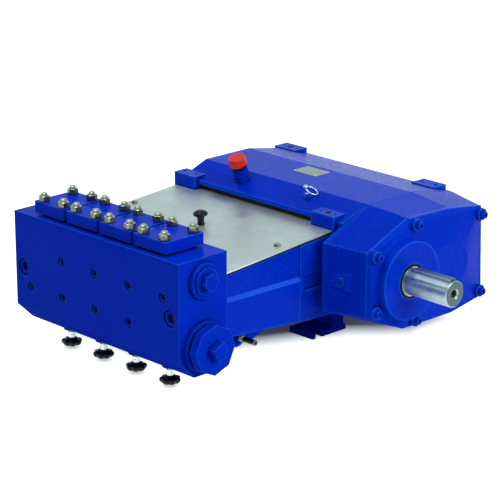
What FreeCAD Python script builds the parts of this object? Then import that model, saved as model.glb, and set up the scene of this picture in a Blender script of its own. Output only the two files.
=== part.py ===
import FreeCAD, Part
import math
import os

# Quadruplex piston pump, in millimetres, standing on the floor at Z = 0.
# X runs along the row of plungers and the drive shaft, which points to +X.
# Y runs from the front of the valve block to the back of the crankcase.
# The pump is drawn with X = 0 midway between the plungers and Y = 0 on the
# block's front face. At the end every piece moves to the frame's origin.
# Points of a side outline are (Y, Z), points of a front outline are (X, Z).

V = FreeCAD.Vector
AX, AY, AZ = V(1, 0, 0), V(0, 1, 0), V(0, 0, 1)

# Row of plungers
CYLINDERS = 4
PITCH = 120.0
COLUMNS = [PITCH * (i - (CYLINDERS - 1) / 2) for i in range(CYLINDERS)]

# Valve block, with the plungers' height inside it
BLOCK_END = 115.0
BLOCK_HALF = COLUMNS[-1] + BLOCK_END
BLOCK_DEEP = 150.0
BLOCK_BASE = 59.0
BLOCK_TALL = 283.0
BLOCK_TOP = BLOCK_BASE + BLOCK_TALL
BLOCK_MID = BLOCK_DEEP / 2
CHAMFER_Y = 46.0
CHAMFER_Z = 45.0
PLUNGER_Z = BLOCK_BASE + 146.0
SCREW_BORE_R = 13.0
SCREW_BORE_DEEP = 17.0
SCREW_ROW_STEP = 45.0
UPPER_SCREWS = (-1, 0, 1, 2)
LOWER_SCREWS = (-2, -1, 0, 1)
TIE_BORE_R = 21.5
TIE_BORE_DEEP = 20.0
TIE_X = BLOCK_HALF - 31.0
SUCTION_Z = PLUNGER_Z - 76.0
SUCTION_R = 40.0
DELIVERY_Z = BLOCK_TOP - 54.0
DELIVERY_R = 20.0
PORT_DEEP = 60.0
VALVE_CHAMBER = 76.0
VALVE_CHAMBER_LOW = SUCTION_Z - 30.0
VALVE_CHAMBER_TOP = BLOCK_TOP - 14.0

# Valve covers
COVER_WIDE = 110.0
COVER_DEEP = 120.0
COVER_THICK = 28.0
COVER_GAP = 6.0
COVER_CORNER = 3.0
SPIGOT_R = 48.0

# Plugs that close the galleries at the drive end of the block
SUCTION_FLANGE_R = 62.0
SUCTION_COLLAR_R = 52.0
SUCTION_COLLAR_OUT = 20.0
SUCTION_HEAD = 112.0
SUCTION_HEAD_LONG = 22.0
SUCTION_HEAD_TURN = 20
SQUARE = 36.0
SQUARE_LONG = 20.0
SQUARE_TURN = 26
DELIVERY_FLANGE_R = 43.0
DELIVERY_COLLAR_R = 33.0
DELIVERY_COLLAR_OUT = 15.0
DELIVERY_HEAD = 36.0
DELIVERY_HEAD_LONG = 16.0
DELIVERY_HEAD_TURN = 10
FLANGE_THICK = 11.0
FLANGE_CHAMFER = 2.5

# Lifting screws and star grips under the block
SPINDLE_R = 7.0
SPINDLE_CLEAR = 0.3
SPINDLE_HOLE = 30.0
SPINDLE_END_GAP = 4.0
BUSHING_R = 19.0
BUSHING_TALL = 10.0
COLLAR_R = 9.0
COLLAR_GAP = 6.5
GRIP_BASE = 8.0
GRIP_DISC = 14.0
GRIP_R = 26.0
GRIP_LOBES = 7
SCALLOP_R = 9.0
SCALLOP_OUT = 6.5
LOBE_ROUND = 3.0
GRIP_EDGE = 2.0
HUB_TALL = 5.5
HUB_FOOT_R = 15.0
HUB_TOP_R = 11.0
GRIP_TOP = GRIP_BASE + GRIP_DISC + HUB_TALL

# Lantern between the block and the crankcase
LANTERN_HALF = BLOCK_HALF - 20.0
LANTERN_LONG = 255.0
LANTERN_END = BLOCK_DEEP + LANTERN_LONG
PANEL_OUT = 8.0
LEDGE_TOP = PLUNGER_Z + 14.0
LEDGE_LOW = PLUNGER_Z + 4.0
LEDGE_FALL = 4.0
CREASE_Z = PLUNGER_Z - 28.0
SKIRT_INSET = 10.0
LANTERN_BASE_FRONT = BLOCK_BASE + 64.0
WALL = 14.0

# Oil trough below the lantern
SUMP_HALF = LANTERN_HALF - 71.0
SUMP_FRONT = BLOCK_DEEP + 40.0
SUMP_BACK = LANTERN_END - 5.0
SUMP_BEND = SUMP_BACK - 80.0
SUMP_BASE = BLOCK_BASE
SUMP_LIFT = 30.0
SUMP_JOIN = SUMP_BASE + 78.0

# Crankcase
NOSE_LONG = 116.0
CASE_FRONT = LANTERN_END + NOSE_LONG
CREASE_Y = CASE_FRONT + 84.0
BACK_CREASE_Y = CREASE_Y + 155.0
CASE_BACK = BACK_CREASE_Y + 148.0
CASE_BASE = 71.0
CASE_TALL = 290.0
CASE_TOP = CASE_BASE + CASE_TALL
CASE_DRAFT = 6.0
SLOPE_LOW_Z = CASE_TOP - 32.0
BACK_SLOPE_Z = CASE_TOP - 27.0
FRONT_BASE_Z = CASE_BASE + 28.0
BACK_BASE_Z = CASE_BASE + 24.0
BASE_FRONT_Y = CASE_FRONT + 64.0
BASE_BACK_Y = BACK_CREASE_Y + 5.0
CASE_LEFT = -LANTERN_HALF + 11.0
CASE_RIGHT = LANTERN_HALF + 38.0
JOINT_BEVEL = 1.5
NOSE_HALF = LANTERN_HALF + 4.0
NOSE_BASE = CASE_BASE + 28.0
NOSE_FALL = 9.0
NOSE_BURIED = 39.0
CHAMBER_HALF = LANTERN_HALF - 27.0
CHAMBER_FRONT = LANTERN_END + 12.0
CHAMBER_BACK = CREASE_Y - 15.0
CHAMBER_LOW = CASE_BASE + 44.0
CHAMBER_HIGH = SLOPE_LOW_Z - 47.0
POCKET_FRONT = LANTERN_END + 12.0
POCKET_BACK = CASE_FRONT - 39.0
POCKET_TALL = 40.0
POCKET_DEEP = 4.5
OIL_FRONT = BASE_FRONT_Y + 57.0
OIL_BACK = CASE_BACK - 16.0
OIL_DEEP = 22.0
OIL_INSET = 30.0
SLOPE_RISE = (CASE_TOP - SLOPE_LOW_Z) / (CREASE_Y - CASE_FRONT)
SLOPE_ANGLE = math.atan(SLOPE_RISE)
SLOPE_NORMAL = V(0, -math.sin(SLOPE_ANGLE), math.cos(SLOPE_ANGLE))
SLOPE_UP = V(0, math.cos(SLOPE_ANGLE), math.sin(SLOPE_ANGLE))

# Splash plate over the plungers, with its knob and seals
PLATE_HALF = NOSE_HALF
PLATE_THICK = 3.0
PLATE_FRONT = BLOCK_DEEP + 1.0
PLATE_BACK = CASE_FRONT - 8.0
PLATE_LOW_FRONT = BLOCK_TOP - 65.0
PLATE_LOW_BACK = SLOPE_LOW_Z - 25.0
PLATE_RISE = (PLATE_LOW_BACK - PLATE_LOW_FRONT) / (PLATE_BACK - PLATE_FRONT)
GASKET = 5.0
GASKET_INSET = 2.0
KNOB_X = -8.0
KNOB_Y = BLOCK_DEEP + 200.0
KNOB_STEM_R = 9.0
KNOB_STEM_TALL = 24.0
KNOB_R = 18.0
KNOB_TALL = 12.0
KNOB_ROUND = 5.0

# Groove in the crankcase's front, between the pads, for the plate's tongue and its seal
LIP_FACE = CASE_FRONT + 5.0
TONGUE_BACK = CASE_FRONT + 11.0
TONGUE_CLEAR = 1.0
GROOVE_BACK = TONGUE_BACK + 5.0
GROOVE_TOP = SLOPE_LOW_Z - 8.0

# Machined pads on the crankcase
PAD_FAR = LANTERN_HALF + 9.0
PAD_NEAR = PAD_FAR - 76.0
FRONT_PAD_Y = (PLATE_BACK, PLATE_BACK + 42.0)
FRONT_PAD_TOP = CASE_TOP - 19.0
BACK_PAD_Y = (CASE_BACK - 32.0, CASE_BACK + 14.0)
BACK_PAD_TOP = CASE_TOP - 18.5
BACK_PAD_TALL = 43.0
PAD_HOLE_R = 10.0
PAD_HOLE_DEEP = 32.0
PAD_PIN_R = 4.5
PAD_PIN_DEEP = 20.0
PAD_PIN_STEP = 23.0
PLAIN_PAD_HOLE_R = 6.2

# Bearing cover of the crankshaft, on the end away from the drive
LEFT_COVER_R = 105.0
LEFT_COVER_THICK = 12.0
LEFT_HUB_R = 72.0
LEFT_HUB_OUT = 20.0

# Gear housing: its wide outline at the crankcase, and how far each corner
# of the narrow outline at the end cover stands from the wide one
GEAR_FRONT = CASE_FRONT - 67.0
GEAR_FRONT_LOW = CASE_BASE + 54.0
GEAR_FRONT_HIGH = CASE_TOP - 65.0
GEAR_LONG = 127.0
GEAR_END = CASE_RIGHT + GEAR_LONG
GEAR_DRAFT = [(10, 12), (10, 2), (-3, -5), (-10, -10), (-45, 1), (-42, 4), (-4, 10), (-1, 12)]
FLANGE_WIDE = 12.0
BEAD_ROUND = 6.0
GEAR_PAD_X = (CASE_RIGHT + 17.0, CASE_RIGHT + 70.0)
GEAR_PAD_FOOT_X = (CASE_RIGHT + 5.0, CASE_RIGHT + 87.0)
GEAR_PAD_PROUD = 1.0
GEAR_PAD_FOOT = 7.5

# End cover with the shaft's boss, the gear's crown and the bolt bosses
COVER_PLATE = 14.0
COVER_END = GEAR_END + COVER_PLATE
COVER_RIM_R = 8.0
SHAFT_Y = CASE_FRONT + 57.0
SHAFT_Z = CASE_BASE + 142.0
CRANK_Y = SHAFT_Y + 157.0
GEAR_PAD_Z = (SHAFT_Z - 16.0, SHAFT_Z + 10.0)
GEAR_PAD_FOOT_Z = (SHAFT_Z - 23.0, SHAFT_Z + 28.0)
BOSS_R = 97.0
BOSS_FOOT_R = BOSS_R + 3.0
BOSS_ROOT_R = BOSS_R + 15.0
BOSS_ROOT_TALL = 7.0
BOSS_END = COVER_END + 28.0
CROWN_R = 61.0
CROWN_END = COVER_END + 14.0
CROWN_INSET = 14.0
ROOT = 4.0
BOLT_INSETS = [(13, 14), (13, -9), (13, -16), None, (-11, -18), (-18, 20), None, (34, 17)]
BOLT_BOSS_R = 15.5
BOLT_BOSS_END = COVER_END + 10.0
BOLT_BORE_R = 5.5

# Drive shaft with its shoulder, seal and key
SHAFT_R = 32.5
SHOULDER_R = SHAFT_R + 4.0
SHAFT_START = GEAR_END + 1.0
SHOULDER_END = BOSS_END + 1.0
SHAFT_END = SHOULDER_END + 132.0
SHAFT_CHAMFER = 2.5
SHAFT_CLEAR = 1.0
SEAL_R = SHOULDER_R + 6.5
SEAL_CLEAR = 0.3
SEAL_THICK = 8.0
KEY_WIDE = 18.0
KEY_TALL = 11.0
KEY_DEEP = 7.0
KEY_END = SHAFT_END - 7.0
KEY_START = SHOULDER_END + 11.0
CENTRE_THREAD_R = 10.0
CENTRE_THREAD_DEEP = 42.0
CENTRE_SINK_R = 13.5
CENTRE_SINK_DEEP = 3.5

# Feet
FOOT_OUT = LANTERN_HALF - 80.0
FOOT_LONG = 81.0
FOOT_FRONT = CASE_FRONT + 15.0
FOOT_WIDE = 119.0
FOOT_THICK = 14.0
FEET_SPAN = 368.0
SLOT_WIDE = 22.0
SLOT_LONG = 44.0
SLOT_IN = 22.5
LEG_LONG = 67.0
LEG_IN = 73.0
LEG_WIDE = 43.0
LEG_TOP = CASE_BASE + 110.0
LEG_CORNER = 9.0

# Filler, dipstick and drain
FILLER_X = -91.0
FILLER_Y = CREASE_Y - 33.0
NECK_R = 19.5
NECK_TALL = 46.0
NECK_GROOVE_AT = 8.0
NECK_GROOVE = 5.0
NECK_GROOVE_DEEP = 3.0
FILLER_SEAL_R = NECK_R + 1.5
FILLER_SEAL_TALL = 4.0
CAP_WIDE = 44.0
CAP_TALL = 18.0
CAP_CROWN = 5.0
CAP_FACETS = 12
STICK_X = 139.0
STICK_Y = CREASE_Y - 30.0
STICK_BOSS_R = 11.0
STICK_BOSS_TALL = 7.0
STICK_R = 3.0
STICK_CLEAR = 1.0
STICK_BORE_DEEP = 143.0
STICK_END_GAP = 8.0
STICK_COLLAR_R = 4.5
STICK_COLLAR_TALL = 7.0
STICK_HEAD_AT = 28.0
STICK_HEAD_R = 5.0
STICK_HEAD_TALL = 6.0
RING_AT = 26.0
RING_R = 16.0
RING_WIRE_R = 1.3
RING_FACETS = 6
RING_SWING = math.radians(45)
RING_HANG = math.radians(41)
DRAIN_Y = BLOCK_DEEP + 104.0
DRAIN_Z = SUMP_BASE + 28.0
LUG_R = 26.0
LUG_END = SUMP_HALF + 17.0
DRAIN_HEX = 25.0
DRAIN_HEX_TALL = 12.0
NIPPLE_R = 7.0
NIPPLE_BORE_R = 4.5
NIPPLE_BORE_DEEP = 20.0
NIPPLE_LONG = 50.0

# The frame's origin is on the floor below the middle of the pump's outline
ORIGIN = V((SHAFT_END - BLOCK_HALF) / 2, BACK_PAD_Y[1] / 2, 0)


def box(x, y, z):
    return Part.makeBox(x[1] - x[0], y[1] - y[0], z[1] - z[0], V(x[0], y[0], z[0]))


def cylinder(radius, base, axis, length):
    return Part.makeCylinder(radius, length, base, axis)


def tube(radius, bore, base, axis, length):
    return cylinder(radius, base, axis, length).cut(cylinder(bore, base, axis, length))


def side_wire(points, x):
    return Part.makePolygon([V(x, y, z) for y, z in points + points[:1]])


def front_wire(points, y):
    return Part.makePolygon([V(x, y, z) for x, z in points + points[:1]])


def side_prism(points, x0, x1):
    return Part.Face(side_wire(points, x0)).extrude(V(x1 - x0, 0, 0))


def front_prism(points, y0, y1):
    return Part.Face(front_wire(points, y0)).extrude(V(0, y1 - y0, 0))


def regular_prism(sides, across_flats, base, axis, length, turn=0):
    """A polygon bar, with a flat facing up when turn is 0."""
    radius = across_flats / 2 / math.cos(math.pi / sides)
    points = []
    for i in range(sides + 1):
        a = math.radians(turn) + math.pi * (2 * i + 1) / sides + math.pi / 2
        points.append(V(radius * math.cos(a), radius * math.sin(a), 0))
    bar = Part.Face(Part.makePolygon(points)).extrude(V(0, 0, length))
    bar.Placement = FreeCAD.Placement(base, FreeCAD.Rotation(AY, AZ, axis, "ZXY"))
    return bar


def turned(points, y, z):
    """A body turned round an axis along X at (y, z), its points given as (X, radius)."""
    outline = [(points[0][0], 0)] + points + [(points[-1][0], 0)]
    wire = Part.makePolygon([V(x, y, z + r) for x, r in outline + outline[:1]])
    return Part.Face(wire).revolve(V(0, y, z), AX, 360)


def joined(first, *others):
    shape = first
    for other in others:
        shape = shape.fuse(other)
    return shape.removeSplitter()


def cut(shape, *tools):
    for tool in tools:
        shape = shape.cut(tool)
    return shape


def mirrored_x(shape):
    return shape.mirror(V(0, 0, 0), AX)


def edges_at(shape, axis, level):
    """The edges that lie in the plane at this level along the axis."""
    found = []
    for edge in shape.Edges:
        middle = (edge.FirstParameter + edge.LastParameter) / 2
        points = [edge.valueAt(t) for t in (edge.FirstParameter, middle, edge.LastParameter)]
        if all(abs(point.dot(axis) - level) < 0.01 for point in points):
            found.append(edge)
    return found


def upright_edges(shape):
    return [e for e in shape.Edges if abs(e.tangentAt(e.FirstParameter).z) > 0.9]


def plate_low(y):
    """Height of the splash plate's underside."""
    return PLATE_LOW_FRONT + PLATE_RISE * (y - PLATE_FRONT)


def on_slope(x, y, height=0.0):
    """A point above the crankcase's front slope."""
    return V(x, y, SLOPE_LOW_Z + SLOPE_RISE * (y - CASE_FRONT)) + SLOPE_NORMAL * height


def valve_block():
    """Solid block with blind ports, and one closed chamber a column in place of the valves' bores."""
    outline = [(0, BLOCK_TOP), (BLOCK_DEEP, BLOCK_TOP), (BLOCK_DEEP, BLOCK_BASE),
               (CHAMFER_Y, BLOCK_BASE), (0, BLOCK_BASE + CHAMFER_Z)]
    block = side_prism(outline, -BLOCK_HALF, BLOCK_HALF)
    screws = [(c * PITCH, PLUNGER_Z + SCREW_ROW_STEP) for c in UPPER_SCREWS]
    screws += [(c * PITCH, PLUNGER_Z - SCREW_ROW_STEP) for c in LOWER_SCREWS]
    tools = [cylinder(SCREW_BORE_R, V(x, 0, z), AY, SCREW_BORE_DEEP) for x, z in screws]
    for x in (-TIE_X, TIE_X):
        tools.append(cylinder(TIE_BORE_R, V(x, 0, PLUNGER_Z), AY, TIE_BORE_DEEP))
    for radius, z in ((SUCTION_R, SUCTION_Z), (DELIVERY_R, DELIVERY_Z)):
        tools.append(cylinder(radius, V(-BLOCK_HALF, BLOCK_MID, z), AX, PORT_DEEP))
    for x in COLUMNS:
        tools.append(cylinder(SPINDLE_R + SPINDLE_CLEAR, V(x, BLOCK_MID, BLOCK_BASE), AZ, SPINDLE_HOLE))
        chamber_at = V(x, BLOCK_MID, VALVE_CHAMBER_LOW)
        tools.append(regular_prism(8, VALVE_CHAMBER, chamber_at, AZ, VALVE_CHAMBER_TOP - VALVE_CHAMBER_LOW))
    return cut(block, *tools)


def valve_cover(x):
    y0 = BLOCK_MID - COVER_DEEP / 2
    low = BLOCK_TOP + COVER_GAP
    plate = box((x - COVER_WIDE / 2, x + COVER_WIDE / 2), (y0, y0 + COVER_DEEP), (low, low + COVER_THICK))
    plate = plate.makeFillet(COVER_CORNER, upright_edges(plate))
    return joined(plate, cylinder(SPIGOT_R, V(x, BLOCK_MID, BLOCK_TOP), AZ, COVER_GAP))


def plug_flange(radius, base):
    flange = cylinder(radius, base, AX, FLANGE_THICK)
    return flange.makeChamfer(FLANGE_CHAMFER, edges_at(flange, AX, BLOCK_HALF + FLANGE_THICK))


def suction_plug():
    base = V(BLOCK_HALF, BLOCK_MID, SUCTION_Z)
    head_at = base + AX * SUCTION_COLLAR_OUT
    square_at = head_at + AX * SUCTION_HEAD_LONG
    return joined(plug_flange(SUCTION_FLANGE_R, base),
                  cylinder(SUCTION_COLLAR_R, base, AX, SUCTION_COLLAR_OUT),
                  regular_prism(8, SUCTION_HEAD, head_at, AX, SUCTION_HEAD_LONG, SUCTION_HEAD_TURN),
                  regular_prism(4, SQUARE, square_at, AX, SQUARE_LONG, SQUARE_TURN))


def delivery_plug():
    base = V(BLOCK_HALF, BLOCK_MID, DELIVERY_Z)
    head_at = base + AX * DELIVERY_COLLAR_OUT
    return joined(plug_flange(DELIVERY_FLANGE_R, base),
                  cylinder(DELIVERY_COLLAR_R, base, AX, DELIVERY_COLLAR_OUT),
                  regular_prism(6, DELIVERY_HEAD, head_at, AX, DELIVERY_HEAD_LONG, DELIVERY_HEAD_TURN))


def screw_bushings():
    low = BLOCK_BASE - BUSHING_TALL
    bore = SPINDLE_R + SPINDLE_CLEAR
    return Part.makeCompound([tube(BUSHING_R, bore, V(x, BLOCK_MID, low), AZ, BUSHING_TALL) for x in COLUMNS])


def lifting_screw(x):
    """Spindle that reaches into the block, with the collar above its grip."""
    foot = V(x, BLOCK_MID, GRIP_TOP)
    collar_top = BLOCK_BASE - BUSHING_TALL - COLLAR_GAP
    spindle_top = BLOCK_BASE + SPINDLE_HOLE - SPINDLE_END_GAP
    return joined(cylinder(COLLAR_R, foot, AZ, collar_top - GRIP_TOP),
                  cylinder(SPINDLE_R, foot, AZ, spindle_top - GRIP_TOP))


def star_grip(x):
    base = V(x, BLOCK_MID, GRIP_BASE)
    disc = cylinder(GRIP_R, base, AZ, GRIP_DISC)
    for i in range(GRIP_LOBES):
        a = 2 * math.pi * i / GRIP_LOBES
        reach = GRIP_R + SCALLOP_OUT
        scallop = base + V(reach * math.cos(a), reach * math.sin(a), 0)
        disc = disc.cut(cylinder(SCALLOP_R, scallop, AZ, GRIP_DISC))
    disc = disc.makeFillet(LOBE_ROUND, [e for e in upright_edges(disc) if isinstance(e.Curve, Part.Line)])
    disc = disc.makeChamfer(GRIP_EDGE, edges_at(disc, AZ, GRIP_BASE + GRIP_DISC))
    hub = Part.makeCone(HUB_FOOT_R, HUB_TOP_R, HUB_TALL, base + AZ * GRIP_DISC, AZ)
    return joined(disc, hub)


def lantern_outline(fall):
    low_half = LANTERN_HALF + PANEL_OUT
    half = [(low_half - SKIRT_INSET, 0), (low_half, CREASE_Z), (low_half, LEDGE_LOW - fall),
            (LANTERN_HALF, LEDGE_TOP - fall), (LANTERN_HALF, CASE_TOP)]
    return half + [(-x, z) for x, z in reversed(half)]


def lantern():
    """Open-topped housing round the plunger rods, with the oil trough and the drain's lug below."""
    low_half = LANTERN_HALF + PANEL_OUT
    body = Part.makeLoft([front_wire(lantern_outline(0), BLOCK_DEEP),
                          front_wire(lantern_outline(LEDGE_FALL), LANTERN_END)], True, True)
    side = [(BLOCK_DEEP, LANTERN_BASE_FRONT), (BLOCK_DEEP, plate_low(BLOCK_DEEP) - GASKET),
            (LANTERN_END, plate_low(LANTERN_END) - GASKET), (LANTERN_END, NOSE_BASE + PLATE_THICK)]
    body = body.common(side_prism(side, -low_half, low_half))
    inner = LANTERN_HALF - WALL
    chamber = box((-inner, inner), (BLOCK_DEEP + WALL, LANTERN_END - WALL), (SUMP_JOIN, CASE_TOP))
    trough = [(SUMP_FRONT, SUMP_JOIN), (SUMP_FRONT, SUMP_BASE), (SUMP_BEND, SUMP_BASE),
              (SUMP_BACK, SUMP_BASE + SUMP_LIFT), (SUMP_BACK, SUMP_JOIN)]
    floor = SUMP_BASE + WALL
    hollow = [(SUMP_FRONT + WALL, CASE_TOP), (SUMP_FRONT + WALL, floor), (SUMP_BEND, floor),
              (SUMP_BACK - WALL, floor + SUMP_LIFT), (SUMP_BACK - WALL, CASE_TOP)]
    body = body.cut(chamber).fuse(side_prism(trough, -SUMP_HALF, SUMP_HALF))
    body = body.cut(side_prism(hollow, -SUMP_HALF + WALL, SUMP_HALF - WALL))
    lug = box((SUMP_HALF, LUG_END), (DRAIN_Y - LUG_R, DRAIN_Y + LUG_R), (DRAIN_Z, SUMP_JOIN))
    lug = lug.fuse(cylinder(LUG_R, V(SUMP_HALF, DRAIN_Y, DRAIN_Z), AX, LUG_END - SUMP_HALF))
    return joined(body, lug)


def plate_gasket():
    """Rubber strips below the splash plate's sides, on the lantern and the crankcase's nose."""
    side = [(PLATE_FRONT, plate_low(PLATE_FRONT) - GASKET), (PLATE_FRONT, plate_low(PLATE_FRONT)),
            (PLATE_BACK, plate_low(PLATE_BACK)), (PLATE_BACK, plate_low(PLATE_BACK) - GASKET)]
    right = side_prism(side, LANTERN_HALF - WALL + GASKET_INSET, PLATE_HALF - GASKET_INSET)
    return Part.makeCompound([right, mirrored_x(right)])


def sheet(y0, y1, half):
    """A stretch of the splash plate between two distances from the front."""
    side = [(y0, plate_low(y0)), (y1, plate_low(y1)),
            (y1, plate_low(y1) + PLATE_THICK), (y0, plate_low(y0) + PLATE_THICK)]
    return side_prism(side, -half, half)


def splash_plate():
    """Flat sheet with a tongue at the back that reaches into the crankcase's groove."""
    tongue = sheet(PLATE_BACK, TONGUE_BACK, PAD_NEAR - TONGUE_CLEAR)
    return joined(sheet(PLATE_FRONT, PLATE_BACK, PLATE_HALF), tongue)


def plate_knob():
    axis = V(0, -PLATE_RISE, 1).normalize()
    base = V(KNOB_X, KNOB_Y, plate_low(KNOB_Y) + PLATE_THICK)
    head_at = base + axis * KNOB_STEM_TALL
    head = cylinder(KNOB_R, head_at, axis, KNOB_TALL)
    head = head.makeFillet(KNOB_ROUND, edges_at(head, axis, (head_at + axis * KNOB_TALL).dot(axis)))
    return joined(cylinder(KNOB_STEM_R, base, axis, KNOB_STEM_TALL), head)


def strip_seal():
    """Rubber strip behind the splash plate's tongue, at the back of the crankcase's groove."""
    side = [(TONGUE_BACK, plate_low(TONGUE_BACK)), (GROOVE_BACK, plate_low(GROOVE_BACK)),
            (GROOVE_BACK, GROOVE_TOP), (TONGUE_BACK, GROOVE_TOP)]
    return side_prism(side, -PAD_NEAR, PAD_NEAR)


def pad(end, y, base, top, threaded):
    """A pad's block at one end of the crankcase, and the holes to drill in it.

    A threaded pad has a large hole between two dowel holes, the others have two holes only.
    """
    middle = V(end * (PAD_NEAR + PAD_FAR) / 2, (y[0] + y[1]) / 2, top)
    pin_r = PLAIN_PAD_HOLE_R
    holes = []
    if threaded:
        pin_r = PAD_PIN_R
        holes.append(cylinder(PAD_HOLE_R, middle - AZ * PAD_HOLE_DEEP, AZ, PAD_HOLE_DEEP))
    for dx in (-PAD_PIN_STEP, PAD_PIN_STEP):
        holes.append(cylinder(pin_r, middle + AX * dx - AZ * PAD_PIN_DEEP, AZ, PAD_PIN_DEEP))
    half = (PAD_FAR - PAD_NEAR) / 2
    return box((middle.x - half, middle.x + half), y, (base, top)), holes


def case_outline():
    """The crankcase's side outline from the front slope's crease round to the base."""
    return [(CREASE_Y, CASE_TOP), (BACK_CREASE_Y, CASE_TOP), (CASE_BACK, BACK_SLOPE_Z),
            (CASE_BACK + CASE_DRAFT, BACK_BASE_Z), (BASE_BACK_Y, CASE_BASE), (BASE_FRONT_Y, CASE_BASE)]


def gear_wide():
    return [(GEAR_FRONT, GEAR_FRONT_LOW), (GEAR_FRONT, GEAR_FRONT_HIGH)] + case_outline()


def gear_narrow():
    return [(y + dy, z + dz) for (y, z), (dy, dz) in zip(gear_wide(), GEAR_DRAFT)]


def crankcase_shell():
    """The crankcase's main body without the nose, flange and pads."""
    profile = [(CASE_FRONT, FRONT_BASE_Z), (CASE_FRONT, SLOPE_LOW_Z)] + case_outline()
    oil_sump = [(OIL_FRONT, CASE_BASE + JOINT_BEVEL), (OIL_FRONT, CASE_BASE),
                (OIL_FRONT + OIL_DEEP, CASE_BASE - OIL_DEEP), (OIL_BACK - OIL_DEEP, CASE_BASE - OIL_DEEP),
                (OIL_BACK, BACK_BASE_Z)]
    return joined(side_prism(profile, CASE_LEFT, CASE_RIGHT - FLANGE_WIDE / 2),
                  side_prism(oil_sump, CASE_LEFT + OIL_INSET, CASE_RIGHT - OIL_INSET))


def crankcase_nose():
    """The part that reaches forward to the lantern, with a shallow pocket in each flank."""
    half = [(NOSE_HALF - SKIRT_INSET, 0), (NOSE_HALF, CREASE_Z), (NOSE_HALF, CASE_TOP)]
    back = CASE_FRONT + NOSE_BURIED
    nose = front_prism(half + [(-x, z) for x, z in reversed(half)], LANTERN_END, back)
    top = plate_low(PLATE_BACK) - GASKET
    side = [(LANTERN_END, NOSE_BASE), (LANTERN_END, plate_low(LANTERN_END) - GASKET),
            (PLATE_BACK, top), (back, top), (back, NOSE_BASE - NOSE_FALL)]
    nose = nose.common(side_prism(side, -NOSE_HALF, NOSE_HALF))
    bottom = NOSE_HALF - POCKET_DEEP
    shape = [(bottom, CREASE_Z), (bottom, CREASE_Z + POCKET_TALL - POCKET_DEEP),
             (NOSE_HALF, CREASE_Z + POCKET_TALL), (NOSE_HALF, CREASE_Z)]
    pocket = front_prism(shape, POCKET_FRONT, POCKET_BACK)
    return cut(nose, pocket, mirrored_x(pocket))


def drive_flange():
    """The flange that carries the gear housing, with a rounded bead towards the nose."""
    flange = side_prism(gear_wide(), CASE_RIGHT - FLANGE_WIDE, CASE_RIGHT)
    flange = flange.makeFillet(BEAD_ROUND, edges_at(flange, AX, CASE_RIGHT - FLANGE_WIDE))
    return flange.makeChamfer(JOINT_BEVEL, edges_at(flange, AX, CASE_RIGHT))


def plate_groove():
    """The space in front of the lip and below it, for the plate's tongue and its seal."""
    side = [(CASE_FRONT, plate_low(CASE_FRONT)), (GROOVE_BACK, plate_low(GROOVE_BACK)), (GROOVE_BACK, GROOVE_TOP),
            (LIP_FACE, GROOVE_TOP), (LIP_FACE, CASE_TOP), (CASE_FRONT, CASE_TOP)]
    return side_prism(side, -PAD_NEAR, PAD_NEAR)


def crankcase():
    """Closed casting with one crosshead chamber inside, its pads and the dipstick's boss."""
    chamber = box((-CHAMBER_HALF, CHAMBER_HALF), (CHAMBER_FRONT, CHAMBER_BACK), (CHAMBER_LOW, CHAMBER_HIGH))
    body = crankcase_shell().fuse(crankcase_nose()).fuse(drive_flange()).cut(chamber).cut(plate_groove())
    holes = []
    for y, top, base, threaded_end in ((FRONT_PAD_Y, FRONT_PAD_TOP, plate_low(PLATE_BACK) - GASKET, 1),
                                       (BACK_PAD_Y, BACK_PAD_TOP, BACK_PAD_TOP - BACK_PAD_TALL, -1)):
        for end in (1, -1):
            block, drilled = pad(end, y, base, top, end == threaded_end)
            body = body.fuse(block)
            holes += drilled
    buried = on_slope(STICK_X, STICK_Y, -STICK_BOSS_TALL)
    body = body.fuse(cylinder(STICK_BOSS_R, buried, SLOPE_NORMAL, 2 * STICK_BOSS_TALL))
    bore_at = on_slope(STICK_X, STICK_Y, -STICK_BORE_DEEP)
    bore = cylinder(STICK_R + STICK_CLEAR, bore_at, SLOPE_NORMAL, STICK_BORE_DEEP + STICK_BOSS_TALL)
    return cut(body, bore, *holes).removeSplitter()


def left_bearing_cover():
    base = V(CASE_LEFT, CRANK_Y, SHAFT_Z)
    return joined(cylinder(LEFT_COVER_R, base, -AX, LEFT_COVER_THICK), cylinder(LEFT_HUB_R, base, -AX, LEFT_HUB_OUT))


def gear_pad():
    """Raised face on the gear housing's front wall, bevelled back to the wall."""
    outlines = []
    for (x0, x1), (z0, z1), y in ((GEAR_PAD_X, GEAR_PAD_Z, GEAR_FRONT - GEAR_PAD_PROUD),
                                  (GEAR_PAD_FOOT_X, GEAR_PAD_FOOT_Z, GEAR_FRONT + GEAR_PAD_FOOT)):
        outlines.append(front_wire([(x0, z0), (x0, z1), (x1, z1), (x1, z0)], y))
    root = box(GEAR_PAD_FOOT_X, (GEAR_FRONT + GEAR_PAD_FOOT, GEAR_FRONT + 2 * GEAR_PAD_FOOT), GEAR_PAD_FOOT_Z)
    return Part.makeLoft(outlines, True, True).fuse(root)


def gear_housing():
    body = Part.makeLoft([side_wire(gear_wide(), CASE_RIGHT), side_wire(gear_narrow(), GEAR_END)], True, True)
    body = body.makeChamfer(JOINT_BEVEL, edges_at(body, AX, CASE_RIGHT))
    return joined(body, gear_pad())


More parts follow.
